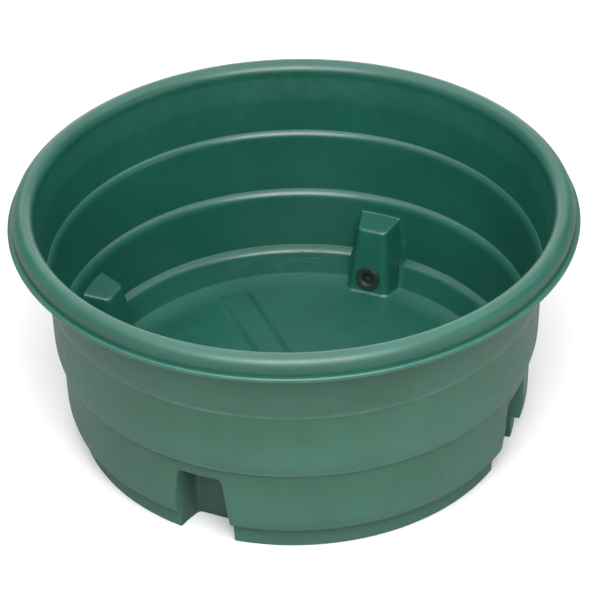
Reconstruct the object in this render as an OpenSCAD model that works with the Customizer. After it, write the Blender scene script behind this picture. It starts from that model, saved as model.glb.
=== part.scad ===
// Round livestock water tank: one moulded polyethylene shell with a rolled rim, three stepped
// wall bands, four base pockets and a floor rib, and a threaded drain with a screw-in plug
// in the rear pocket (+Y).
// Units are millimetres. +Z is up, the origin is the centre of the footprint on the ground.

/* [Overall] */
// outside diameter over the rim lip
tank_d = 1360; // [1320:10:1400]
// height from the ground to the top of the rim
tank_h = 628; // [610:2:645]
// wall thickness of the moulding
wall_t = 8; // [7:0.5:9]
// number of base pockets
pocket_count = 4; // [3:1:4]

/* [Rim] */
// height of the rolled rim above the top of its lip
roll_h = 40.5; // [38:0.5:46]
// width of the rolled rim
roll_w = 51; // [48:0.5:56]
// how far the lip stands out from the roll
lip_out = 12; // [8:0.5:16]
// thickness of the lip
lip_t = 10; // [8.5:0.5:11]

/* [Wall bands] */
// height of the lower edge of the top band
step_1_z = 415; // [405:1:425]
// height of the lower edge of the middle band
step_2_z = 240; // [234:1:250]
// height of the lower edge of the bottom band, above the foot ring
step_3_z = 64; // [60:1:68]
// radius where the top band ends
band_1_r = 606.5; // [604:0.5:608]
// radius where the middle band ends
band_2_r = 592; // [590:0.5:594]
// radius where the bottom band ends
band_3_r = 573; // [571:0.5:574]
// outer radius of the foot ring
foot_r = 546; // [544:0.5:550]
// inside height of the top, middle and bottom ledges
ledge_1_z = 437.5; // [430:0.5:442]
ledge_2_z = 265; // [260:1:268]
ledge_3_z = 97; // [92:0.5:99]

/* [Floor] */
// height of the tank floor above the ground
floor_z = 37; // [34:1:40]
// thickness of the floor
floor_t = 9; // [8:0.5:10]
// radius where the floor meets the wall
floor_r = 522.5; // [518:0.5:526]
// height of the rib across the floor
rib_h = 12; // [8:1:16]
// width of the rib at the floor
rib_w = 100; // [80:2:120]
// length of the rib at the floor
rib_len = 930; // [860:10:940]
// direction of the rib, from +X
rib_angle = 135; // [0:45:135]

/* [Pockets] */
// distance from the tank axis to the pocket face, at the floor
pocket_r = 466; // [462:1:472]
// half width of the pocket face, at the floor
pocket_w = 55; // [52:1:60]
// lean of the pocket face
pocket_lean = 10.25; // [8:0.25:12]
// widening of the pocket toward the wall
pocket_plan = 0.28; // [0.2:0.01:0.34]
// narrowing of the pocket with height
pocket_rise = 0.147; // [0.12:0.005:0.17]
// height of the pocket top where it meets the wall
pocket_top = 227; // [222:1:230]
// slope of the pocket top, rise over run
pocket_slope = 0.19; // [0.12:0.01:0.24]
// height of the notch roof at the outer wall
notch_top = 202; // [190:1:206]
// narrowing of the notch with height
notch_rise = 0.13; // [0.12:0.005:0.147]
// greatest half width of the notch mouth
notch_w = 67.5; // [66:0.5:71]
// thickness of the pocket face
face_t = 14; // [12:0.5:16]

/* [Drain] */
// height of the drain centre on the pocket face
drain_z = 80.5; // [78:0.5:88]
// outside diameter of the drain flange
flange_d = 66; // [60:1:72]
// thickness of the drain flange
flange_t = 5.5; // [5:0.5:8]
// outside diameter of the threaded barrel
barrel_d = 42; // [40:0.5:43]
// bore of the barrel for the water
bore_d = 28; // [24:1:30]
// diameter of the plug socket in the barrel
socket_d = 34; // [33:0.5:35]
// thread length of the plug inside the socket
thread_len = 16; // [12:1:18]
// lock nut size across flats
nut_af = 58; // [54:1:60]
// lock nut height
nut_h = 12; // [10:1:14]
// plug head size across flats
plug_af = 30; // [26:1:34]
// plug head height
plug_head_h = 12; // [9:1:16]

/* [Hidden] */
$fn = 144;

lip_r = tank_d / 2;
lip_top = tank_h - roll_h;
roll_out = lip_r - lip_out;
roll_in = roll_out - roll_w;
cut = 400;
green = [0.10, 0.33, 0.27];
black = [0.06, 0.08, 0.08];

// drain stack, measured along the drain axis from the inner face of the pocket
gasket_t = 2.5;
washer_t = 2;
seal_t = 3;
cap_t = 4;
barrel_end = face_t + washer_t + nut_h + 3;
socket_floor = barrel_end - thread_len - 2;

// unit vector of v
function unit(v) = v / norm(v);

// points of the corner a-b-c, rounded to radius r; r = 0 keeps the corner sharp
function corner(a, b, c, r) = r == 0 ? [b] :
    let (u = unit(a - b), v = unit(c - b), half = acos(max(-1, min(1, u * v))) / 2,
         m = b + unit(u + v) * r / sin(half),
         s = b + u * r / tan(half) - m, e = b + v * r / tan(half) - m,
         a0 = atan2(s[1], s[0]), d = (atan2(e[1], e[0]) - a0 + 900) % 360 - 180,
         n = max(2, ceil(abs(d) / 15)))
    [for (i = [0 : n]) m + r * [cos(a0 + d * i / n), sin(a0 + d * i / n)]];

// closed outline through [radius, height, rounding] stations
function outline(p) = [for (i = [0 : len(p) - 1])
    let (n = len(p), a = p[(i + n - 1) % n], b = p[i], c = p[(i + 1) % n])
    each corner([a[0], a[1]], [b[0], b[1]], [c[0], c[1]], b[2])];

// one outer step: the band above stands out over the band below, with a rounded shoulder
function step_out(z, below_r, band_r) = [
    [below_r, z, 2],
    [band_r - 8, z, 1.5],
    [band_r, z + 27, 110]];

// one inner ledge between the wall above and the wall below
function ledge(z, above_r, below_r, soft) = [
    [above_r, z + (above_r - below_r) / 2, 0.6],
    [below_r, z, soft]];

skin = [
    // foot ring and outside of the wall, going up
    [foot_r - 12, 0, 1],
    [foot_r - 2, 0, 3],
    each step_out(step_3_z, foot_r, band_3_r),
    each step_out(step_2_z, band_3_r + 2, band_2_r),
    each step_out(step_1_z, band_2_r + 3, band_1_r),
    [roll_in - 4, 532, 60],
    // hollow underside of the roll
    [roll_in + wall_t, 592, 40],
    [roll_in + wall_t, tank_h - wall_t, roll_w / 2 - wall_t - 0.5],
    [roll_out - wall_t, tank_h - wall_t, roll_w / 2 - wall_t - 0.5],
    [roll_out - wall_t, lip_top - lip_t, 1],
    // lip and outside of the roll
    [lip_r, lip_top - lip_t, 2.5],
    [lip_r, lip_top, 5.5],
    [roll_out, lip_top, 0.8],
    [roll_out, tank_h, roll_w / 2 - 0.6],
    [roll_in, tank_h, roll_w / 2 + 0.4],
    // inside of the wall, going down
    [roll_in, 592, 40],
    [roll_in - 12, 532, 60],
    each ledge(ledge_1_z, band_1_r - wall_t, band_2_r - 5.5, 16),
    each ledge(ledge_2_z, band_2_r - wall_t - 0.5, band_3_r - 6, 17),
    each ledge(ledge_3_z, band_3_r - wall_t - 0.5, foot_r + 1.5, 15),
    [floor_r, floor_z, 4],
    // floor, top and underside
    [0, floor_z, 0],
    [0, floor_z - floor_t, 0],
    [foot_r - 12, floor_z - floor_t, 4]];

// prism along X from an outline in the Y-Z plane
module cross_prism(points, width) {
    rotate([90, 0, 90])
        linear_extrude(height = width, center = true)
            polygon(points);
}

// removes everything outside the two side faces: half width w at the foot of the face, narrowing
// with height by rise
module between_sides(w, rise) {
    aim = atan(pocket_plan);
    lean = atan(rise * cos(aim));
    difference() {
        children();
        for (side = [0, 1])
            mirror([side, 0, 0])
                translate([w, pocket_r, floor_z])
                    rotate([0, -lean, -aim])
                        translate([0, -cut, -cut])
                            cube(2 * cut);
    }
}

// solid block of one pocket, standing in from the +Y wall
module pocket_block() {
    face = tan(pocket_lean);
    back_y = 569.5;
    top_y = (pocket_r + face * (pocket_top - pocket_slope * back_y - floor_z))
        / (1 - face * pocket_slope);
    between_sides(pocket_w, pocket_rise)
        cross_prism([
            [pocket_r - face * floor_z, 0],
            [foot_r - 8, 0],
            [foot_r - 8, step_3_z - 2],
            [556, 84],
            [568, 100],
            [back_y, pocket_top],
            [top_y, pocket_top - pocket_slope * (back_y - top_y)]], 300);
}

// space of the notch behind one pocket, open at the ground and at the wall
module notch_space() {
    face = tan(pocket_lean);
    back = pocket_r - face * (floor_z + 1) + face_t / cos(pocket_lean);
    roof_y = (back + face * (notch_top - pocket_slope * 572 + 1)) / (1 - face * pocket_slope);
    intersection() {
        between_sides(pocket_w - wall_t - 0.5, notch_rise)
            cross_prism([
                [back, -1],
                [roof_y, notch_top - pocket_slope * (572 - roof_y)],
                [640, notch_top + pocket_slope * 68],
                [640, -1]], 300);
        translate([-notch_w, 400, -2])
            cube([2 * notch_w, 300, 300]);
    }
}

// raised rib across the floor; grow widens and lifts it, base is its lower face
module floor_rib(w, l, h, base) {
    rotate([0, 0, rib_angle])
        intersection() {
            cross_prism([[-w / 2, base], [w / 2, base],
                         [w / 2 - h * 1.9, base + h], [-w / 2 + h * 1.9, base + h]], l + 40);
            rotate([0, 0, 90])
                cross_prism([[-l / 2, base], [l / 2, base],
                             [l / 2 - h * 1.9, base + h], [-l / 2 + h * 1.9, base + h]], w + 40);
        }
}

// carries its children to the drain: their +Z runs from the tank out through the pocket face
module at_drain() {
    y = pocket_r + tan(pocket_lean) * (drain_z - floor_z);
    translate([0, y, drain_z])
        rotate([-90 - pocket_lean, 0, 0])
            children();
}

// cylinder between two stations of the drain stack
module turned(d, from, to) {
    translate([0, 0, from])
        cylinder(d = d, h = to - from);
}

// hexagonal bar with its corners turned down
module hex_bar(af, from, to) {
    intersection() {
        translate([0, 0, from])
            cylinder(d = af / cos(30), h = to - from, $fn = 6);
        turned(af * 1.1, from, to);
    }
}

module tank_shell() {
    color(green)
    difference() {
        union() {
            rotate_extrude()
                polygon(outline(skin));
            for (k = [0 : pocket_count - 1])
                rotate([0, 0, k * 360 / pocket_count])
                    pocket_block();
            floor_rib(rib_w, rib_len, rib_h, floor_z - 2);
        }
        for (k = [0 : pocket_count - 1])
            rotate([0, 0, k * 360 / pocket_count])
                notch_space();
        floor_rib(rib_w - 14, rib_len - 14, rib_h + 1, floor_z - floor_t - 1);
        at_drain()
            turned(barrel_d + 2, -5, face_t + 5);
    }
}

module drain_body() {
    color(black)
    at_drain()
        difference() {
            union() {
                // flange inside the tank, with a turned-down rim
                translate([0, 0, -gasket_t - flange_t])
                    cylinder(d1 = flange_d - 5, d2 = flange_d, h = 2.5);
                turned(flange_d, -gasket_t - flange_t + 2.5, -gasket_t);
                turned(barrel_d, -gasket_t, barrel_end - 1);
                translate([0, 0, barrel_end - 1])
                    cylinder(d1 = barrel_d, d2 = barrel_d - 2, h = 1);
            }
            turned(bore_d, -20, barrel_end + 1);
            turned(socket_d, socket_floor, barrel_end + 1);
            // dished mouth of the bore
            translate([0, 0, -gasket_t - flange_t - 0.01])
                cylinder(d1 = bore_d + 14, d2 = bore_d, h = 4);
        }
}

module drain_gasket() {
    color(black)
    at_drain()
        difference() {
            turned(flange_d - 4, -gasket_t, 0);
            turned(barrel_d + 0.8, -gasket_t - 1, 1);
        }
}

module drain_washer() {
    color(black)
    at_drain()
        difference() {
            turned(nut_af + 4, face_t, face_t + washer_t);
            turned(barrel_d + 0.6, face_t - 1, face_t + washer_t + 1);
        }
}

module drain_locknut() {
    color(black)
    at_drain()
        difference() {
            hex_bar(nut_af, face_t + washer_t, face_t + washer_t + nut_h);
            turned(barrel_d + 0.1, face_t, face_t + nut_h + 10);
        }
}

module drain_plug() {
    shank_d = socket_d - 0.16;
    tip = barrel_end - thread_len;
    head = barrel_end + seal_t;
    color(black)
    at_drain() {
        // screwed shank
        translate([0, 0, tip])
            cylinder(d1 = shank_d - 3, d2 = shank_d, h = 1.5);
        turned(shank_d, tip + 1.5, head + 1);
        // cap over the seal, and hexagonal head
        turned(socket_d + 14, head, head + cap_t);
        hex_bar(plug_af, head + cap_t - 1, head + cap_t + plug_head_h);
    }
}

module plug_seal() {
    color(black)
    at_drain()
        difference() {
            turned(socket_d + 10, barrel_end + 0.1, barrel_end + seal_t);
            turned(socket_d + 0.5, barrel_end - 1, barrel_end + seal_t + 1);
        }
}

tank_shell();
drain_body();
drain_gasket();
drain_washer();
drain_locknut();
drain_plug();
plug_seal();
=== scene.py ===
"""Looks of the livestock water tank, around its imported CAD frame. Lengths in the tables are millimetres."""
import math

import bmesh
import bpy
import numpy as np
from mathutils import Matrix, Vector
from mathutils.geometry import delaunay_2d_cdt


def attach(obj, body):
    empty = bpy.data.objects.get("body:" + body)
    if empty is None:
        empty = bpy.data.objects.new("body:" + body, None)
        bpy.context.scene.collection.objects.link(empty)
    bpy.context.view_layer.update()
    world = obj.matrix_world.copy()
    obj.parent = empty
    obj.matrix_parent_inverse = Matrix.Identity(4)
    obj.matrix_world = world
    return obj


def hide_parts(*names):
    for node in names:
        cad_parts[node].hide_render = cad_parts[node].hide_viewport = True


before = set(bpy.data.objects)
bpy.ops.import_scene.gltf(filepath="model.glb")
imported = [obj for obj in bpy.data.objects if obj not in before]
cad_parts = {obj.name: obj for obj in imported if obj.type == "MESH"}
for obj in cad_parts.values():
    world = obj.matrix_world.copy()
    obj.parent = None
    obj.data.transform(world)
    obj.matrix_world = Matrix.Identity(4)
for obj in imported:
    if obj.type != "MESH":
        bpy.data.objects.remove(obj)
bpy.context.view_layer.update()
MM = 0.001

# ------------------------------------------------------------------ shell dimensions
TANK_R, TANK_H, WALL = 679.75, 627.9, 8.0
# rim: top face and thickness of the lip, outer and inner radius of the roll
LIP_TOP, LIP_T = 587.5, 10.0
ROLL_OUT, ROLL_IN = 668.0, 617.0
HALF_ROLL = (ROLL_OUT - ROLL_IN) / 2
FOOT_R, FOOT_INNER_R = 546.0, 534.0
FLOOR_Z, FLOOR_UNDER, FLOOR_EDGE_R = 37.0, 28.0, 525.0
# pocket: radius and half width at the floor, lean of its face, growth of the half width with
# radius (PLAN), loss of it with height (RISE), height of the top at the wall, slope of the top
POCKET_R, POCKET_W, LEAN = 466.0, 55.0, math.radians(10.25)
PLAN, RISE = 0.28, 0.147
POCKET_TOP, SLOPE = 227.0, 0.19
# notch behind the pocket: wall between them, greatest half width, loss of it with height, roof
FACE_T, NOTCH_W, NOTCH_RISE, NOTCH_TOP = 14.0, 67.5, 0.13, 202.0
DRAIN_Z = 80.5
# rib across the floor: direction, height, width, length, run of its slopes
RIB_ANGLE, RIB_H, RIB_W, RIB_L, RIB_RUN = math.radians(135), 12.0, 100.0, 930.0, 24.0
# the groove under the rib is narrower and shorter by this much
GROOVE_LESS = 14.0
# height just above the ground where the rows of the foot end, outside and inside
LOW_Z = 2.5


def rounded(stations, step=8.0, closed=True):
    """Outline through (r, z, rounding) stations, each corner turned by a true arc."""
    pts, n = [], len(stations)
    for i in range(n):
        if not closed and i in (0, n - 1):
            pts.append(np.array(stations[i][:2], float))
            continue
        a, b, c = (np.array(stations[j % n][:2], float) for j in (i - 1, i, i + 1))
        r = stations[i][2]
        u, v = (a - b) / np.linalg.norm(a - b), (c - b) / np.linalg.norm(c - b)
        half = math.acos(max(-1.0, min(1.0, float(u @ v)))) / 2
        if r <= 0 or half > math.radians(89.7):
            pts.append(b)
            continue
        m = (u + v) / np.linalg.norm(u + v) * r / math.sin(half) + b
        s, e = b + u * r / math.tan(half) - m, b + v * r / math.tan(half) - m
        a0 = math.atan2(s[1], s[0])
        turn = (math.atan2(e[1], e[0]) - a0 + math.pi) % (2 * math.pi) - math.pi
        k = max(2, math.ceil(abs(math.degrees(turn)) / step))
        for j in range(k + 1):
            at = a0 + turn * j / k
            pts.append(m + r * np.array([math.cos(at), math.sin(at)]))
    return np.array(pts)


def step_out(z, below, band):
    """Stations of a step on the outside, from radius below to radius band."""
    return [(below, z, 0), (band - 8, z, 1.5), (band, z + 27, 110)]


def ledge(z, above, below, soft):
    """Stations of a ledge on the inside, from radius above to radius below."""
    return [(above, z + (above - below) / 2, 0), (below, z, soft)]


SKIN = ([(FOOT_INNER_R, 0, 1), (FOOT_R - 2, 0, 3)]
        + step_out(64, FOOT_R, 573) + step_out(240, 575, 592) + step_out(415, 595, 606.5)
        + [(613, 532, 60), (ROLL_IN + WALL, 592, 40),
           (ROLL_IN + WALL, TANK_H - WALL, HALF_ROLL - WALL - 0.5),
           (ROLL_OUT - WALL, TANK_H - WALL, HALF_ROLL - WALL - 0.5),
           (ROLL_OUT - WALL, LIP_TOP - LIP_T, 1),
           (TANK_R, LIP_TOP - LIP_T, 2.5), (TANK_R, LIP_TOP, 5.5), (ROLL_OUT, LIP_TOP, 0),
           (ROLL_OUT, TANK_H, HALF_ROLL - 0.6), (ROLL_IN, TANK_H, HALF_ROLL + 0.4),
           (ROLL_IN, 592, 40), (ROLL_IN - 12, 532, 60)]
        + ledge(438.5, 598.5, 586.5, 23) + ledge(264.5, 583.5, 567, 26) + ledge(98, 564.5, 545.5, 19)
        + [(FLOOR_EDGE_R, FLOOR_Z, 0), (0, FLOOR_Z, 0), (0, FLOOR_UNDER, 0), (FOOT_INNER_R, FLOOR_UNDER, 4)])
PROFILE = rounded(SKIN, 10.0)
# WAY_UP runs from the foot up the outside, over the rim and down to the middle of the floor;
# ENVELOPE is its outside alone, closed along the axis
first = int(np.argmin(np.abs(PROFILE - [FOOT_R - 2, 0]).sum(1)))
WAY_UP = np.roll(PROFILE, -first, axis=0)
WAY_UP = WAY_UP[:int(np.where((WAY_UP[:, 0] == 0) & (WAY_UP[:, 1] == FLOOR_Z))[0][0]) + 1]
ENVELOPE = np.concatenate([[(0, 0)], WAY_UP[:int(np.argmax(WAY_UP[:, 1])) + 1], [(0, TANK_H)]])


def polygon_distance(outline, r, z):
    """Signed distance from (r, z) to a closed outline, negative inside it."""
    shape = np.shape(r)
    p = np.stack([np.ravel(r), np.ravel(z)], -1)
    best = np.full(len(p), 1e12)
    inside = np.zeros(len(p), bool)
    for a, b in zip(outline, np.roll(outline, -1, axis=0)):
        ab, ap = b - a, p - a
        t = np.clip((ap @ ab) / max(float(ab @ ab), 1e-9), 0, 1)
        d = ap - t[:, None] * ab
        best = np.minimum(best, (d * d).sum(1))
        crosses = (a[1] > p[:, 1]) != (b[1] > p[:, 1])
        if a[1] != b[1]:
            at = a[0] + (p[:, 1] - a[1]) * ab[0] / ab[1]
            inside ^= crosses & (p[:, 0] < at)
    return (np.sqrt(best) * np.where(inside, -1, 1)).reshape(shape)


def join(a, b, r):
    """Union of two distance fields with a fillet of radius r."""
    return np.maximum(r, np.minimum(a, b)) - np.hypot(np.maximum(r - a, 0), np.maximum(r - b, 0))


def meet(a, b, r):
    """Intersection of two distance fields with an edge rounded to radius r."""
    return np.minimum(-r, np.maximum(a, b)) + np.hypot(np.maximum(r + a, 0), np.maximum(r + b, 0))


def side_distance(x, y, z, w, rise):
    """Distance to the two leaning sides of a pocket or notch of half width w at the floor."""
    return ((np.abs(x) - w - PLAN * (y - POCKET_R) + rise * (z - FLOOR_Z))
            / math.sqrt(1 + PLAN ** 2 + rise ** 2))


def pocket_distance(x, y, z):
    """Distance to one pocket block; y runs out along the pocket's own radius."""
    face = (POCKET_R + math.tan(LEAN) * (z - FLOOR_Z) - y) * math.cos(LEAN)
    top = (z - POCKET_TOP + SLOPE * (569.5 - y)) * math.cos(math.atan(SLOPE))
    return meet(meet(face, side_distance(x, y, z, POCKET_W, RISE), 13.0), top, 5.0)


def notch_distance(x, y, z):
    """Distance to the notch behind one pocket."""
    back = (POCKET_R + math.tan(LEAN) * (z - FLOOR_Z) + FACE_T / math.cos(LEAN) - y) * math.cos(LEAN)
    roof = (z - NOTCH_TOP + SLOPE * (572 - y)) * math.cos(math.atan(SLOPE))
    side = np.maximum(side_distance(x, y, z, POCKET_W - WALL - 0.5, NOTCH_RISE), np.abs(x) - NOTCH_W)
    return meet(meet(back, side, 9.0), roof, 12.0)


def cavity(x, y, z):
    """Inner skin with a pocket; the fillet round the pocket widens toward the floor."""
    fillet = 3.5 + 4.5 * np.clip((130 - z) / 80, 0, 1)
    return join(polygon_distance(PROFILE, np.hypot(x, y), z), pocket_distance(x, y, z), fillet)


def outside(x, y, z):
    """Outer skin with a notch cut into it."""
    return meet(polygon_distance(ENVELOPE, np.hypot(x, y), z), -notch_distance(x, y, z), 3.5)


def under(x, y, z):
    """Underside of the floor and back of a pocket's foot."""
    return join(polygon_distance(PROFILE, np.hypot(x, y), z), pocket_distance(x, y, z), 4.0)


def path_length(path, corner_weight=9.0):
    """Running length along a path, with every turn counted as extra length."""
    seg = np.diff(path, axis=0)
    ds = np.hypot(seg[:, 0], seg[:, 1])
    ang = np.arctan2(seg[:, 1], seg[:, 0])
    turn = np.abs((np.diff(ang) + np.pi) % (2 * np.pi) - np.pi)
    extra = np.zeros(len(ds))
    extra[:-1] += turn / 2
    extra[1:] += turn / 2
    return np.concatenate([[0], np.cumsum(ds + corner_weight * extra)])


def resample(path, n, corner_weight=9.0):
    """n points along a path, closer together where it turns."""
    s = path_length(path, corner_weight)
    t = np.linspace(0, s[-1], n)
    return np.stack([np.interp(t, s, path[:, k]) for k in (0, 1)], -1)


def clip_path(path, start, stop):
    """The corners of a path between the points of it nearest to start and stop."""
    parts = [np.linspace(a, b, max(2, int(np.linalg.norm(b - a) / 2) + 1), endpoint=False)
             for a, b in zip(path[:-1], path[1:])]
    corner = np.concatenate([np.arange(len(part)) == 0 for part in parts] + [[True]])
    dense = np.concatenate(parts + [path[-1:]])
    i = int(np.argmin(((dense - start) ** 2).sum(1)))
    j = int(np.argmin(((dense - stop) ** 2).sum(1)))
    corner[[i, j]] = True
    return dense[i:j + 1][corner[i:j + 1]]


def divide(path, longest):
    """A path with points added so that none are further apart than longest."""
    out = [path[0]]
    for a, b in zip(path[:-1], path[1:]):
        n = math.ceil(np.linalg.norm(b - a) / longest)
        out += [a + (b - a) * k / n for k in range(1, n + 1)]
    return np.array(out)


def shoot(field, origin, target_r, target_z, theta, steps=90):
    """First hits of rays from origin through targets, in the half plane at each theta."""
    dr, dz = target_r - origin[0], target_z - origin[1]
    n = np.hypot(dr, dz)
    dr, dz = dr / n, dz / n
    t = np.zeros_like(dr)
    s, c = np.sin(theta), np.cos(theta)
    for _ in range(steps):
        r = origin[0] + dr * t
        t += 0.95 * field(r * s, r * c, origin[1] + dz * t)
    return origin[0] + dr * t, origin[1] + dz * t


def ray_rows(origin, main, other, ends, hold=0.0):
    """Rows of ray targets through the points of two paths with the same ends.

    Angles up to the share hold of the way are the same in every column;
    the rest stretch to the column's end."""
    shares = []
    for path in (main, other):
        a = np.unwrap(np.arctan2(path[:, 1] - origin[1], path[:, 0] - origin[0]))
        shares.append((a - a[0]) / (a[-1] - a[0]))
    extra = shares[1][np.abs(shares[1][:, None] - shares[0][None, :]).min(1) > 0.005]
    f = np.sort(np.concatenate([shares[0], extra]))[:, None]
    start, own_end = (np.arctan2(v[1] - origin[1], v[0] - origin[0]) for v in (main[0], main[-1]))
    end = np.arctan2(ends[1] - origin[1], ends[0] - origin[0])
    own, turn = ((v - start + math.pi) % (2 * math.pi) - math.pi for v in (own_end, end))
    past = own * hold + (turn[None, :] - own * hold) * (f - hold) / (1 - hold)
    ang = start + np.where(f <= hold, own * f, past)
    return origin[0] + 100 * np.cos(ang), origin[1] + 100 * np.sin(ang)


def smooth(t):
    """Eased step from 0 to 1."""
    t = np.clip(t, 0, 1)
    return t * t * (3 - 2 * t)


# columns of one eighth of the tank in degrees from the middle of a pocket: close along the
# pocket's side, wide beyond
EIGHTH = np.concatenate([np.linspace(0, 4.9, 8)[:-1], np.linspace(4.9, 8.7, 27)[:-1],
                         np.linspace(8.7, 12, 5)[:-1], np.linspace(12, 45, 17)])
# columns right round on the rim
COARSE = 200
# where the close columns round the pockets give way to the rim's, inside and outside
SEAM_IN, SEAM_OUT = (566.6, 244), (574.9, 232)
# radius where the rows end and the flat of the floor begins, at each column
RING_IN = 440 + 42 * smooth((EIGHTH - 14) / 14)


def lean_in(z):
    """Column angles at each height: the close columns follow the pocket's side as it narrows upward."""
    shift = 2.4 * np.clip((z - FLOOR_Z) / 180, -0.1, 1)
    knots = np.array([0, 4.9, 8.7, 14, 45])
    out = np.empty((len(z), len(EIGHTH)))
    for i, d in enumerate(shift):
        out[i] = np.interp(EIGHTH, knots, [0, 4.9 - d, 8.7 - d, 14 - 0.2 * d, 45])
    return np.radians(out)


def march(field, start, way, z, th):
    """First hits along level rays from radius start, outward (1) or inward (-1)."""
    r = np.full(th.shape, float(start))
    for _ in range(130):
        r = r + way * 0.9 * field(r * np.sin(th), r * np.cos(th), np.full(th.shape, float(z)))
    return r


def shell_rows():
    """Rows of points of the skin: inside with pockets, over the rim, outside with notches and foot."""
    ones = np.ones_like(EIGHTH)
    outer = WAY_UP

    # floor edge up to the wall above the pockets
    down = clip_path(outer, SEAM_IN, (440, FLOOR_Z))
    origin = (380.0, 330.0)
    face_top = POCKET_R + math.tan(LEAN) * (214 - FLOOR_Z)
    middle = rounded([(*SEAM_IN, 0), (566.2, 226.5, 6), (face_top, 214, 5), (POCKET_R, FLOOR_Z, 9),
                      (440, FLOOR_Z, 0)], closed=False)
    # rows are held from wall to floor edge, so that ledge and edge fall on rows in every column
    turns = [math.atan2(v[1] - origin[1], v[0] - origin[0]) for v in (down[0], (512, FLOOR_Z), down[-1])]
    hold = (turns[1] - turns[0]) / (turns[2] - turns[0])
    tr, tz = ray_rows(origin, divide(down, 14), divide(middle, 9), (RING_IN, FLOOR_Z * ones), hold)
    # height reached by each row over the pocket sets how far its columns lean
    probe = shoot(cavity, origin, tr[:, :1], tz[:, :1], np.radians(4.0) * np.ones((1, 1)))[1][:, 0]
    th_in = lean_in(probe)
    inner = shoot(cavity, origin, tr, tz, th_in)

    # over the rim, from inside to outside
    top = divide(clip_path(outer[::-1], SEAM_IN, SEAM_OUT), 40)

    # outside wall and notch, down to the ground
    base_th = lean_in(np.array([LOW_Z]))[0]
    out_r = march(outside, 600, -1, LOW_Z, base_th)
    origin = (650.0, -80.0)
    wall = clip_path(outer[::-1], SEAM_OUT, (545, LOW_Z))
    back = POCKET_R + math.tan(LEAN) * (LOW_Z - FLOOR_Z) + FACE_T / math.cos(LEAN)
    notch = rounded([(*SEAM_OUT, 0), (574.6, NOTCH_TOP, 3), (507.9, 189.8, 12), (back, LOW_Z, 0)],
                    closed=False)
    tr, tz = ray_rows(origin, divide(wall, 24), divide(notch, 8), (out_r, LOW_Z * ones))
    probe = shoot(outside, origin, tr[:, :1], tz[:, :1], np.radians(3.0) * np.ones((1, 1)))[1][:, 0]
    th_out = lean_in(probe)
    th_out[-1] = base_th
    lower = shoot(outside, origin, tr, tz, th_out)

    # underside of the floor
    in_r = march(under, 430, 1, LOW_Z, base_th)
    origin = (412 + 76 * smooth((EIGHTH - 14) / 14), -40.0)
    ring = resample(rounded([(FOOT_INNER_R, LOW_Z, 0), (FOOT_INNER_R, FLOOR_UNDER, 4), (488, FLOOR_UNDER, 0)],
                            closed=False), 12, 8)
    rise = np.interp(np.linspace(0, 1, 12), *np.array([[0, 0], [0.5, 0.3], [1, 1]]).T)
    start = np.arctan2(LOW_Z - origin[1], in_r - origin[0])
    a = np.arctan2(ring[:, 1] - origin[1], ring[:, 0] - 488)
    share = (a - a[0]) / (a[-1] - a[0])
    near = np.clip((16 - EIGHTH) / 4, 0, 1)
    share = share[:, None] * (1 - near) + rise[:, None] * near
    ang = start + (math.pi / 2 - start) * share
    th_under = np.tile(base_th, (12, 1))
    below = shoot(under, origin, origin[0] + 100 * np.cos(ang), origin[1] + 100 * np.sin(ang), th_under)
    below[0][0], below[1][0] = in_r, LOW_Z

    base = (np.stack([out_r - 2, in_r + 2]), np.zeros((2, len(EIGHTH))))
    pocket_side = [np.flipud(v) for v in (*inner, th_in)]
    pocket_side[1][0] = FLOOR_Z
    rows = zip((*lower, th_out), (*base, np.tile(base_th, (2, 1))), (*below, th_under))
    foot_side = [np.concatenate(v) for v in rows]
    return pocket_side, top, foot_side


def rib_height(x, y, width, length, height):
    """Height of the rib over the floor, or of the groove over the underside."""
    u = np.abs(x * math.cos(RIB_ANGLE + math.pi / 2) + y * math.sin(RIB_ANGLE + math.pi / 2))
    v = np.abs(x * math.cos(RIB_ANGLE) + y * math.sin(RIB_ANGLE))
    return height * smooth((width / 2 - u) / RIB_RUN) * smooth((length / 2 - v) / RIB_RUN)


def disk_points(width, length):
    """Grid aligned with the rib, close across its slopes."""
    def lines(half, spacing):
        # every 4 mm from just outside the rib's edge to the end of its slope, wider elsewhere
        near = [half + k for k in range(4, -29, -4)]
        wide = list(np.arange(half + 24, 490, spacing))
        mid = list(np.arange(0, half - 34, spacing))
        return sorted(set(near + wide + mid + [-k for k in near + wide + mid]))
    ca, sa = math.cos(RIB_ANGLE), math.sin(RIB_ANGLE)
    return [(v * ca - u * sa, v * sa + u * ca) for u in lines(width / 2, 34) for v in lines(length / 2, 30)]


def whole_turn(eighth):
    """(r, z, angle) of one eighth, mirrored and repeated right round; angle 0 is +Y, growing toward +X."""
    r, z, th = eighth
    r = np.concatenate([r[:, :0:-1], r[:, :-1]], 1)
    z = np.concatenate([z[:, :0:-1], z[:, :-1]], 1)
    th = np.concatenate([-th[:, :0:-1], th[:, :-1]], 1)
    th = np.concatenate([th + k * math.pi / 2 for k in range(4)], 1)
    r, z = np.tile(r, 4), np.tile(z, 4)
    return r * np.sin(th), r * np.cos(th), z, th


def strip(first_a, angles_a, first_b, angles_b):
    """Triangles between two closed rings with different numbers of points."""
    na, nb = len(angles_a), len(angles_b)
    i = j = 0
    out = []
    while i < na or j < nb:
        a_next = angles_a[(i + 1) % na] + (2 * math.pi if i + 1 >= na else 0)
        b_next = angles_b[(j + 1) % nb] + (2 * math.pi if j + 1 >= nb else 0)
        if j >= nb or (i < na and a_next <= b_next):
            out.append((first_a + i % na, first_b + j % nb, first_a + (i + 1) % na))
            i += 1
        else:
            out.append((first_a + i % na, first_b + j % nb, first_b + (j + 1) % nb))
            j += 1
    return out


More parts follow.
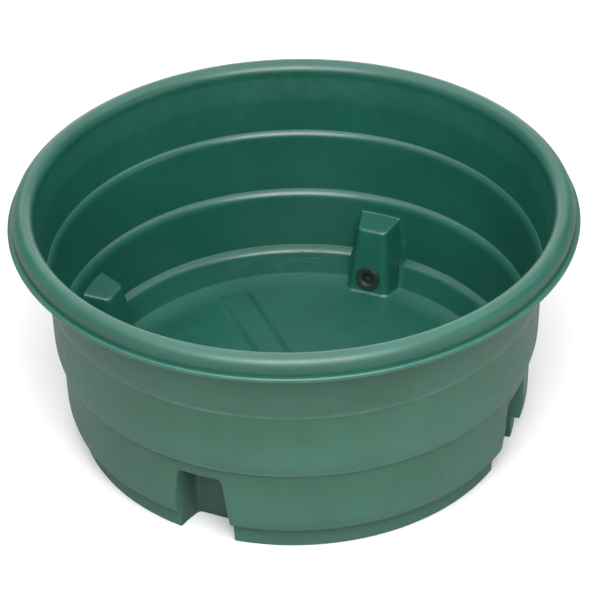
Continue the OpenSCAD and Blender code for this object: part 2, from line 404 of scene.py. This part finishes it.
# drain: where its axis meets the pocket's face, the axis, and the way up across it
AXIS_AT = np.array([0.0, POCKET_R + math.tan(LEAN) * (DRAIN_Z - FLOOR_Z), DRAIN_Z])
AXIS = np.array([0.0, math.cos(LEAN), -math.sin(LEAN)])
AXIS_UP = np.array([0.0, math.sin(LEAN), math.cos(LEAN)])
HOLE_R, HOLE_SIDES = 22.0, 64
# least angle between two faces that is left unsmoothed
SHARP = math.radians(34)


def cut_hole(bm, flag):
    """Opens the pocket wall for the drain: patches both faces round a circle and joins the two circles."""
    circles = []
    for depth in (0.0, FACE_T):
        def near(v):
            q = np.array(v.co) - AXIS_AT
            along = float(q @ AXIS)
            return abs(along - depth) < 3 and np.linalg.norm(q - along * AXIS) < 32.5
        gone = [f for f in bm.faces if all(near(v) for v in f.verts)]
        bmesh.ops.delete(bm, geom=gone, context="FACES")
        bm.edges.ensure_lookup_table()
        edges = [e for e in bm.edges if len(e.link_faces) == 1 and all(
            abs(float((np.array(v.co) - AXIS_AT) @ AXIS) - depth) < 3 for v in e.verts)]
        loop, here = [edges[0].verts[0]], edges[0].verts[1]
        links = {}
        for e in edges:
            for v in e.verts:
                links.setdefault(v, []).append(e.other_vert(v))
        while here is not loop[0]:
            loop.append(here)
            here = next(v for v in links[here] if v is not loop[-2])
        centre = AXIS_AT + AXIS * depth
        turn = [2 * math.pi * k / HOLE_SIDES for k in range(HOLE_SIDES)]
        ring = [bm.verts.new(centre + HOLE_R * (math.cos(t) * np.array([1.0, 0, 0]) + math.sin(t) * AXIS_UP))
                for t in turn]
        for v in ring:
            v[flag] = 1.0 if depth else 0.0
        flat = [Vector((v.co.x, float((np.array(v.co) - centre) @ AXIS_UP))) for v in loop + ring]
        n = len(loop)
        bounds = [(k, (k + 1) % n) for k in range(n)]
        bounds += [(n + k, n + (k + 1) % HOLE_SIDES) for k in range(HOLE_SIDES)]
        made = delaunay_2d_cdt(flat, bounds, [], 1, 1e-5)
        source = [o[0] for o in made[3]]
        for f in made[2]:
            ids = [source[k] for k in f]
            if any(k < n for k in ids):
                bm.faces.new([(loop + ring)[k] for k in ids])
        circles.append(ring)
    a, b = circles
    for k in range(HOLE_SIDES):
        m = (k + 1) % HOLE_SIDES
        bm.faces.new((a[k], a[m], b[m], b[k]))


def build_shell():
    """The whole tank moulding as one closed mesh."""
    pocket_side, top, foot_side = shell_rows()
    verts, faces, outer = [], [], []

    def add_rows(x, y, z, out):
        first = len(verts)
        rows, cols = x.shape
        outer.extend(np.repeat(out, cols).tolist())
        verts.extend(zip(x.ravel().tolist(), y.ravel().tolist(), z.ravel().tolist()))
        for i in range(rows - 1):
            a = first + i * cols
            for j in range(cols):
                k = (j + 1) % cols
                faces.append((a + j, a + cols + j, a + cols + k, a + k))
        return first, first + (rows - 1) * cols

    x1, y1, z1, th1 = whole_turn(pocket_side)
    x3, y3, z3, th3 = whole_turn(foot_side)
    th2 = np.arange(COARSE) * 2 * math.pi / COARSE + th1[-1, 0]
    r2, z2 = np.repeat(top[1:-1, :1], COARSE, 1), np.repeat(top[1:-1, 1:], COARSE, 1)
    past_lip = (np.arange(len(r2)) > np.argmax(r2[:, 0])) & (z2[:, 0] < LIP_TOP - LIP_T + 1)
    in_first, in_last = add_rows(x1, y1, z1, np.zeros(len(x1)))
    top_first, top_last = add_rows(r2 * np.sin(th2), r2 * np.cos(th2), z2, past_lip.astype(float))
    out_first, out_last = add_rows(x3, y3, z3, np.ones(len(x3)))
    faces.extend(strip(in_last, th1[-1], top_first, th2))
    faces.extend(strip(top_last, th2, out_first, th3[0]))

    # floor and underside disks
    cols = x1.shape[1]
    for first, xs, ys, up, width, length, level in (
            (in_first, x1[0], y1[0], True, RIB_W, RIB_L, FLOOR_Z),
            (out_last, x3[-1], y3[-1], False, RIB_W - GROOVE_LESS, RIB_L - GROOVE_LESS, FLOOR_UNDER)):
        ring = list(zip(xs.tolist(), ys.tolist()))
        angles = np.arctan2(xs, ys)
        order = np.argsort(angles)
        reach = np.hypot(xs, ys)
        inner_points = [p for p in disk_points(width, length)
                        if math.hypot(*p) < np.interp(math.atan2(*p), angles[order], reach[order],
                                                      period=2 * math.pi) - 7]
        out = delaunay_2d_cdt([Vector(p) for p in ring + inner_points],
                              [(j, (j + 1) % cols) for j in range(cols)], [], 1, 1e-5)
        index = []
        for co, source in zip(out[0], out[3]):
            if source and source[0] < cols:
                index.append(first + source[0])
            else:
                index.append(len(verts))
                verts.append((co[0], co[1], level + float(rib_height(co[0], co[1], width, length, RIB_H))))
                outer.append(0.0 if up else 1.0)
        for f in out[2]:
            f = [index[i] for i in f]
            pa, pb, pc = (Vector(verts[i]) for i in f[:3])
            faces.append(tuple(f) if ((pb - pa).cross(pc - pa).z > 0) == up else tuple(reversed(f)))
    mesh = bpy.data.meshes.new("shell_skin")
    mesh.from_pydata(verts, [], faces)
    mesh.update()
    obj = bpy.data.objects.new("shell_skin", mesh)
    bpy.context.scene.collection.objects.link(obj)
    bm = bmesh.new()
    bm.from_mesh(mesh)
    flag = bm.verts.layers.float.new("outer")
    for v, value in zip(bm.verts, outer):
        v[flag] = value
    cut_hole(bm, flag)
    bmesh.ops.scale(bm, vec=(MM, MM, MM), verts=bm.verts)
    bmesh.ops.recalc_face_normals(bm, faces=bm.faces)
    for face in bm.faces:
        face.smooth = True
    for edge in bm.edges:
        edge.smooth = edge.calc_face_angle(0.0) < SHARP
    bm.to_mesh(mesh)
    bm.free()
    return obj


# bend per metre where wear on an edge begins, and how much more makes it full; on the outside the same edges
# also carry painted light
EDGE_FROM, EDGE_SPAN = 48, 90


def store_masks(obj):
    """Point attribute for the finish: how sharply the skin bends outward there."""
    mesh = obj.data
    n = len(mesh.vertices)
    co, no = np.empty(n * 3), np.empty(n * 3)
    mesh.vertices.foreach_get("co", co)
    mesh.vertices.foreach_get("normal", no)
    co, no = co.reshape(-1, 3), no.reshape(-1, 3)
    ends = np.empty(len(mesh.edges) * 2, dtype=np.int64)
    mesh.edges.foreach_get("vertices", ends)
    i, j = ends.reshape(-1, 2).T
    gap = co[j] - co[i]
    length = np.linalg.norm(gap, axis=1) + 1e-7
    bend = ((no[j] - no[i]) * gap).sum(1) / length
    total, weight = np.zeros(n), np.zeros(n)
    for k in (i, j):
        np.add.at(total, k, bend / length)
        np.add.at(weight, k, 1.0)
    curve = total / np.maximum(weight, 1)
    for _ in range(2):
        sums, count = curve.copy(), np.ones(n)
        for a, b in ((i, j), (j, i)):
            np.add.at(sums, a, curve[b])
            np.add.at(count, a, 1.0)
        curve = sums / count
    edge = np.clip((curve - EDGE_FROM) / EDGE_SPAN, 0, 1)
    layer = mesh.attributes.new("edge", "FLOAT", "POINT")
    layer.data.foreach_set("value", edge.astype(np.float32))


shell = build_shell()
store_masks(shell)


# ------------------------------------------------------------------ materials
class Finish:
    """Short names for building one node material."""

    def __init__(self, name):
        self.material = bpy.data.materials.new(name)
        self.material.use_nodes = True
        self.tree = self.material.node_tree
        self.shader = self.tree.nodes["Principled BSDF"]
        self.place = self.tree.nodes.new("ShaderNodeTexCoord").outputs["Object"]

    def put(self, socket, value):
        if isinstance(value, bpy.types.NodeSocket):
            self.tree.links.new(value, socket)
        elif isinstance(value, tuple) and len(value) == 3 and socket.type == "RGBA":
            socket.default_value = (*value, 1)
        else:
            socket.default_value = value

    def set(self, name, value):
        self.put(self.shader.inputs[name], value)

    def calc(self, operation, a, b=0.0, c=0.0):
        node = self.tree.nodes.new("ShaderNodeMath")
        node.operation = operation
        for socket, value in zip(node.inputs, (a, b, c)):
            self.put(socket, value)
        return node.outputs[0]

    def scaled(self, vector, scale):
        node = self.tree.nodes.new("ShaderNodeVectorMath")
        node.operation = "MULTIPLY"
        self.put(node.inputs[0], vector)
        node.inputs[1].default_value = scale
        return node.outputs[0]

    def noise(self, scale, detail=3.0, rough=0.55, vector=None, twist=0.0):
        node = self.tree.nodes.new("ShaderNodeTexNoise")
        self.put(node.inputs["Vector"], self.place if vector is None else vector)
        node.inputs["Scale"].default_value = scale
        node.inputs["Detail"].default_value = detail
        node.inputs["Roughness"].default_value = rough
        node.inputs["Distortion"].default_value = twist
        return node.outputs[0]

    def ramp(self, value, low, high, out_low=0.0, out_high=1.0):
        node = self.tree.nodes.new("ShaderNodeMapRange")
        node.interpolation_type = "SMOOTHSTEP"
        for socket, v in zip(node.inputs, (value, low, high, out_low, out_high)):
            self.put(socket, v)
        return node.outputs[0]

    def mix(self, factor, a, b):
        node = self.tree.nodes.new("ShaderNodeMix")
        node.data_type = "RGBA"
        colours = [s for s in node.inputs if s.type == "RGBA"]
        self.put(node.inputs[0], factor)
        self.put(colours[0], a)
        self.put(colours[1], b)
        return [s for s in node.outputs if s.type == "RGBA"][0]

    def attribute(self, name):
        node = self.tree.nodes.new("ShaderNodeAttribute")
        node.attribute_name = name
        return node.outputs["Fac"]

    def bump(self, height, distance, strength=1.0, normal=None):
        node = self.tree.nodes.new("ShaderNodeBump")
        self.put(node.inputs["Height"], height)
        node.inputs["Distance"].default_value = distance
        node.inputs["Strength"].default_value = strength
        if normal is not None:
            self.put(node.inputs["Normal"], normal)
        return node.outputs[0]

    def parts(self):
        node = self.tree.nodes.new("ShaderNodeSeparateXYZ")
        self.put(node.inputs[0], self.place)
        return node.outputs


# two shades for each side of the skin, then what lies over them: mottle, a pale colour for chalk and for
# painted light, scratches, and painted shade for the notches and the roll's flank
INSIDE = (0.0036, 0.0385, 0.0264), (0.0045, 0.0474, 0.0331)
OUTSIDE = (0.0055, 0.0390, 0.0222), (0.0069, 0.0449, 0.0262)
MOTTLE, CHALK_AND_PAINTED_LIGHT, SCRATCH = (0.0085, 0.058, 0.042), (0.045, 0.13, 0.098), (0.11, 0.19, 0.155)
NOTCH_SHADE, FLANK_SHADE = (0.0016, 0.018, 0.011), (0.003, 0.03, 0.02)
# foot and height of each outside band, metres
BANDS = (0.002, 0.06), (0.064, 0.235), (0.24, 0.41)
# sets of hairlines: stretch of the noise along (round, radius, height), slant, width
HAIRLINES = (((2.2, 10, 60.0), 0.0, 0.0035), ((5.0, 10, 34.0), 0.35, 0.003),
             ((38.0, 10, 3.2), 0.1, 0.003))


def tank_finish():
    """Green moulded polyethylene, chalky and scratched outside, cleaner inside; painted light low on the
    bands, on the foot, on raised outer edges and on the floor by the wall, painted shade in the notches and
    on the roll's outer flank.
    """
    f = Finish("tank_moulded_green")
    x, y, z = f.parts()
    round_tank = f.calc("ARCTAN2", y, x)
    radius = f.calc("SQRT", f.calc("ADD", f.calc("MULTIPLY", x, x), f.calc("MULTIPLY", y, y)))
    # the wall unrolled: way round, radius, height
    wrap = f.tree.nodes.new("ShaderNodeCombineXYZ")
    f.put(wrap.inputs[0], f.calc("MULTIPLY", round_tank, 0.6))
    f.put(wrap.inputs[1], radius)
    f.put(wrap.inputs[2], z)
    outer, edge = f.attribute("outer"), f.attribute("edge")

    clouds = f.noise(3.2, 4.0, 0.6)
    mottle = f.noise(34.0, 4.0, 0.6)
    inner_colour = f.mix(f.ramp(clouds, 0.3, 0.7), *INSIDE)
    outer_colour = f.mix(f.ramp(clouds, 0.3, 0.7), *OUTSIDE)
    colour = f.mix(outer, inner_colour, outer_colour)
    colour = f.mix(f.ramp(mottle, 0.45, 0.8, 0, 0.22), colour, MOTTLE)

    # chalky wear on the outside and on every raised edge, and painted bounce light from the floor, lighter
    # low on each band
    # painted light: each outside band is lighter toward its bottom, where the floor's bounce light would fall
    painted_band_light = 0.0
    for low, high in BANDS:
        inside_band = f.calc("MULTIPLY", f.calc("GREATER_THAN", z, low),
                             f.calc("LESS_THAN", z, high + 0.005))
        climb = f.ramp(z, low, high, 1.0, 0.0)
        painted_band_light = f.calc("MULTIPLY_ADD", inside_band, climb, painted_band_light)
    chalk_noise = f.ramp(f.noise(7.0, 5.0, 0.65, twist=0.4), 0.3, 0.75)
    chalk_and_painted_light = f.calc("MULTIPLY_ADD", painted_band_light, 0.15, f.calc("MULTIPLY", chalk_noise, 0.12))
    chalk_and_painted_light = f.calc("MULTIPLY", outer, chalk_and_painted_light)
    edge_wear_and_light = f.calc("MULTIPLY", edge, f.ramp(f.noise(26.0, 4.0, 0.7), 0.35, 0.7, 0.35, 0.8))
    # painted light: the foot ring is lighter, lifting the shade under the bottom step
    foot_painted_light = f.calc("MULTIPLY", f.calc("LESS_THAN", z, 0.066), f.ramp(radius, 0.53, 0.542))
    chalk_and_painted_light = f.calc("MULTIPLY_ADD", f.calc("MULTIPLY", outer, foot_painted_light), 0.16, chalk_and_painted_light)
    # full strength on the outside, where the pale edge is partly wear and partly painted light lifting the
    # shadow line at each step
    edge_wear_and_light = f.calc("MULTIPLY", edge_wear_and_light, f.calc("MULTIPLY_ADD", outer, 0.6, 0.4))
    chalk_and_painted_light = f.calc("MAXIMUM", chalk_and_painted_light, edge_wear_and_light)
    # painted light: the floor is lighter toward the wall, a painted glow
    floor_edge_painted_light = f.calc("MULTIPLY", f.ramp(radius, 0.44, 0.525), f.ramp(z, 0.0375, 0.042, 1.0, 0.0))
    floor_edge_painted_light = f.calc("MULTIPLY", f.calc("MULTIPLY", floor_edge_painted_light, f.calc("SUBTRACT", 1.0, outer)),
                       f.ramp(chalk_noise, 0.0, 1.0, 0.18, 0.26))
    chalk_and_painted_light = f.calc("MAXIMUM", chalk_and_painted_light, floor_edge_painted_light)
    # one pale colour for the chalky wear and for the painted light low on the bands, on the foot and on the
    # floor by the wall
    colour = f.mix(chalk_and_painted_light, colour, CHALK_AND_PAINTED_LIGHT)

    # scratches: noise drawn out along the wall, cut down to hairlines in a few patches
    hairs = 0.0
    for scale, lean, width in HAIRLINES:
        slanted = f.tree.nodes.new("ShaderNodeVectorRotate")
        slanted.rotation_type = "Y_AXIS"
        f.put(slanted.inputs["Vector"], wrap.outputs[0])
        slanted.inputs["Angle"].default_value = lean
        line = f.noise(1.0, 1.0, 0.4, vector=f.scaled(slanted.outputs[0], scale))
        line = f.ramp(f.calc("ABSOLUTE", f.calc("SUBTRACT", line, 0.5)), 0.0, width * 3, 1.0, 0.0)
        patch = f.ramp(f.noise(5.5 + lean * 3, 2.0, 0.5), 0.62, 0.72)
        hairs = f.calc("MAXIMUM", hairs, f.calc("MULTIPLY", line, patch))
    scratch = f.calc("MULTIPLY", hairs, f.calc("MULTIPLY", outer, 0.22))
    colour = f.mix(scratch, colour, SCRATCH)
    # painted shade darkening the notches
    recess = f.calc("MULTIPLY", f.ramp(radius, 0.53, 0.56, 1.0, 0.0), f.ramp(z, 0.17, 0.2, 1.0, 0.0))
    notch_shade = f.calc("MULTIPLY", f.calc("MULTIPLY", recess, outer), f.ramp(clouds, 0.3, 0.7, 0.4, 0.6))
    colour = f.mix(notch_shade, colour, NOTCH_SHADE)
    # the outer flank of the roll is painted darker than its crown, painted shade, and is also made duller
    flank_shade_and_dullness = f.calc("MULTIPLY", f.ramp(radius, 0.6575, 0.667), f.ramp(z, 0.588, 0.592))
    colour = f.mix(f.calc("MULTIPLY", flank_shade_and_dullness, 0.4), colour, FLANK_SHADE)
    f.set("Base Color", colour)

    # duller outside, on chalk and on the flank, a little glossier inside below the rim
    deep = f.calc("MULTIPLY", f.ramp(radius, 0.6, 0.615, 1.0, 0.0), f.calc("SUBTRACT", 1.0, outer))
    rough = f.calc("MULTIPLY_ADD", outer, 0.18, f.calc("MULTIPLY_ADD", deep, -0.05, 0.35))
    rough = f.calc("MULTIPLY_ADD", f.ramp(mottle, 0.3, 0.75), 0.07, rough)
    rough = f.calc("MULTIPLY_ADD", chalk_and_painted_light, 0.5, f.calc("MULTIPLY_ADD", flank_shade_and_dullness, 0.16, rough))
    f.set("Roughness", f.calc("MULTIPLY_ADD", hairs, 0.15, rough))
    f.set("Specular IOR Level", 0.37)
    ripple = f.bump(f.noise(11.0, 2.0, 0.5), 0.0012, 0.4)
    grain = f.bump(f.noise(420.0, 2.0, 0.6), 0.00022, 0.45, ripple)
    f.set("Normal", f.bump(hairs, 0.0003, 0.5, grain))
    return f.material


def drain_finish(name, colour, dusty, rough, grain_scale, seed):
    """Dark moulding or rubber with dust, fine grain and drawn lines; seed shifts its noise."""
    f = Finish(name)
    shifted = f.tree.nodes.new("ShaderNodeVectorMath")
    shifted.operation = "ADD"
    f.put(shifted.inputs[0], f.place)
    shifted.inputs[1].default_value = (seed, seed * 0.7, seed * 1.3)
    place = shifted.outputs[0]
    cloud = f.noise(28.0, 4.0, 0.6, vector=place)
    fine = f.noise(160.0, 3.0, 0.6, vector=place)
    base = f.mix(f.ramp(cloud, 0.3, 0.7), colour, tuple(min(1.0, c * 1.7 + 0.002) for c in colour))
    dust = f.calc("MULTIPLY", f.ramp(cloud, 0.45, 0.75), f.ramp(fine, 0.3, 0.7))
    f.set("Base Color", f.mix(f.calc("MULTIPLY", dust, 0.35), base, dusty))
    worn = f.ramp(fine, 0.3, 0.7, rough - 0.05, rough + 0.08)
    f.set("Roughness", f.calc("MULTIPLY_ADD", dust, 0.25, worn))
    f.set("Specular IOR Level", 0.17)
    grain = f.bump(f.noise(grain_scale, 2.0, 0.5, vector=place), 0.00012, 0.6)
    lines = f.noise(1.0, 1.0, 0.4, vector=f.scaled(place, (90.0, 900.0, 260.0)))
    f.set("Normal", f.bump(f.ramp(lines, 0.6, 0.66), 0.00008, 0.5, grain))
    return f.material


shell.data.materials.append(tank_finish())
# node: material, colour, dusty colour, roughness, scale of the grain, seed
DRAIN = {
    "drain_body": ("drain_black_moulding", (0.004, 0.011, 0.009), (0.011, 0.027, 0.022), 0.5, 900.0, 0.11),
    "drain_gasket": ("gasket_rubber", (0.007, 0.007, 0.007), (0.045, 0.045, 0.042), 0.72, 1400.0, 0.31),
    "drain_washer": ("washer_moulding", (0.016, 0.017, 0.017), (0.07, 0.075, 0.07), 0.45, 900.0, 0.47),
    "drain_locknut": ("locknut_moulding", (0.013, 0.0145, 0.0145), (0.06, 0.065, 0.06), 0.4, 700.0, 0.59),
    "drain_plug": ("plug_moulding", (0.007, 0.0095, 0.009), (0.03, 0.038, 0.035), 0.42, 800.0, 0.73),
    "plug_seal": ("seal_rubber", (0.008, 0.008, 0.008), (0.045, 0.045, 0.042), 0.7, 1500.0, 0.87),
}
for name, looks in DRAIN.items():
    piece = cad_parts[name]
    piece.data.materials.clear()
    piece.data.materials.append(drain_finish(*looks))
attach(shell, "tank")
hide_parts("tank_shell")


def pale_floor():
    """Matt floor that stays bright far from the lights."""
    f = Finish("ground_pale")
    tint = f.ramp(f.noise(1.3, 3.0, 0.5), 0.3, 0.7)
    f.set("Base Color", f.mix(tint, (0.47, 0.47, 0.47), (0.463, 0.463, 0.463)))
    f.set("Roughness", 0.75)
    x, y, _ = f.parts()
    far = f.calc("SQRT", f.calc("ADD", f.calc("MULTIPLY", x, x), f.calc("MULTIPLY", y, y)))
    f.set("Emission Color", (1.0, 1.0, 1.0))
    f.set("Emission Strength", f.ramp(far, 2.2, 7.0, 0.0, 1.0))
    return f.material


# ------------------------------------------------------------------ floor, light, camera (metres)
GROUND = 14
floor_mesh = bpy.data.meshes.new("ground")
corners = [(-GROUND, -GROUND, 0), (GROUND, -GROUND, 0), (GROUND, GROUND, 0), (-GROUND, GROUND, 0)]
floor_mesh.from_pydata(corners, [], [(0, 1, 2, 3)])
ground = bpy.data.objects.new("ground", floor_mesh)
bpy.context.scene.collection.objects.link(ground)
ground.data.materials.append(pale_floor())
ground.location.z = -0.0005

world = bpy.data.worlds.new("studio")
bpy.context.scene.world = world
world.use_nodes = True
# dim sky over a bright horizon: heights between which it fades, strength below and above them
FADE_LOW, FADE_HIGH, HORIZON, SKY = 0.06, 0.17, 1.0, 0.3
sky = world.node_tree.nodes
direction = sky.new("ShaderNodeSeparateXYZ")
world.node_tree.links.new(sky.new("ShaderNodeTexCoord").outputs["Generated"], direction.inputs[0])
fade = sky.new("ShaderNodeMapRange")
fade.interpolation_type = "SMOOTHSTEP"
world.node_tree.links.new(direction.outputs[2], fade.inputs[0])
for socket, value in zip(fade.inputs[1:], (FADE_LOW, FADE_HIGH, HORIZON, SKY)):
    socket.default_value = value
sky["Background"].inputs[0].default_value = (1, 1, 1, 1)
world.node_tree.links.new(fade.outputs[0], sky["Background"].inputs[1])


def softbox(name, at, aim, size, power):
    """Rectangular lamp of the size given, at a place and aimed at another, power in watts."""
    d = bpy.data.lights.new(name, "AREA")
    d.shape, d.size, d.size_y, d.energy = "RECTANGLE", size[0], size[1], power
    o = bpy.data.objects.new(name, d)
    bpy.context.scene.collection.objects.link(o)
    o.location = at
    o.rotation_euler = (Vector(aim) - Vector(at)).to_track_quat("-Z", "Y").to_euler()


CAM_AZ, CAM_EL, CAM_DIST = math.radians(-66), math.radians(35.10), 5.813
CAM_LENS, CAM_ROLL, AIM_RIGHT = 142.6, math.radians(-1.29), 0.0102
target = Vector((0, 0, 0.319))
toward = Vector((math.cos(CAM_AZ) * math.cos(CAM_EL), math.sin(CAM_AZ) * math.cos(CAM_EL), math.sin(CAM_EL)))
right = Vector((-math.sin(CAM_AZ), math.cos(CAM_AZ), 0))
front = Vector((math.cos(CAM_AZ), math.sin(CAM_AZ), 0))
CENTRE = (0, 0, 0.3)
softbox("key", front * 3.4 + Vector((0, 0, 3.75)), CENTRE, (4.2, 2.7), 560)
softbox("back", front * -3.9 + Vector((0, 0, 3.0)), CENTRE, (3.6, 1.5), 14)
softbox("top", Vector((0, 0, 4.8)), CENTRE, (8.0, 8.0), 640)
softbox("left", right * -5.0 + Vector((0, 0, 2.9)), CENTRE, (4.0, 2.2), 22)
softbox("back_low", front * -5.2 + Vector((0, 0, 1.7)), (0, 0, 0.35), (5.0, 2.2), 80)
softbox("right", right * 4.6 + front * 2.0 + Vector((0, 0, 1.2)), (0, 0, 0.25), (1.6, 2.2), 45)

cam_data = bpy.data.cameras.new("camera")
camera = bpy.data.objects.new("camera", cam_data)
bpy.context.scene.collection.objects.link(camera)
cam_data.sensor_width = 36
cam_data.lens = CAM_LENS
camera.location = target + toward * CAM_DIST
aim = target + right * AIM_RIGHT
quat = (aim - camera.location).to_track_quat("-Z", "Y")
camera.rotation_euler = (quat.to_matrix() @ Matrix.Rotation(CAM_ROLL, 3, "Z")).to_euler()
bpy.context.scene.camera = camera
bpy.context.scene.view_settings.view_transform = "Standard"
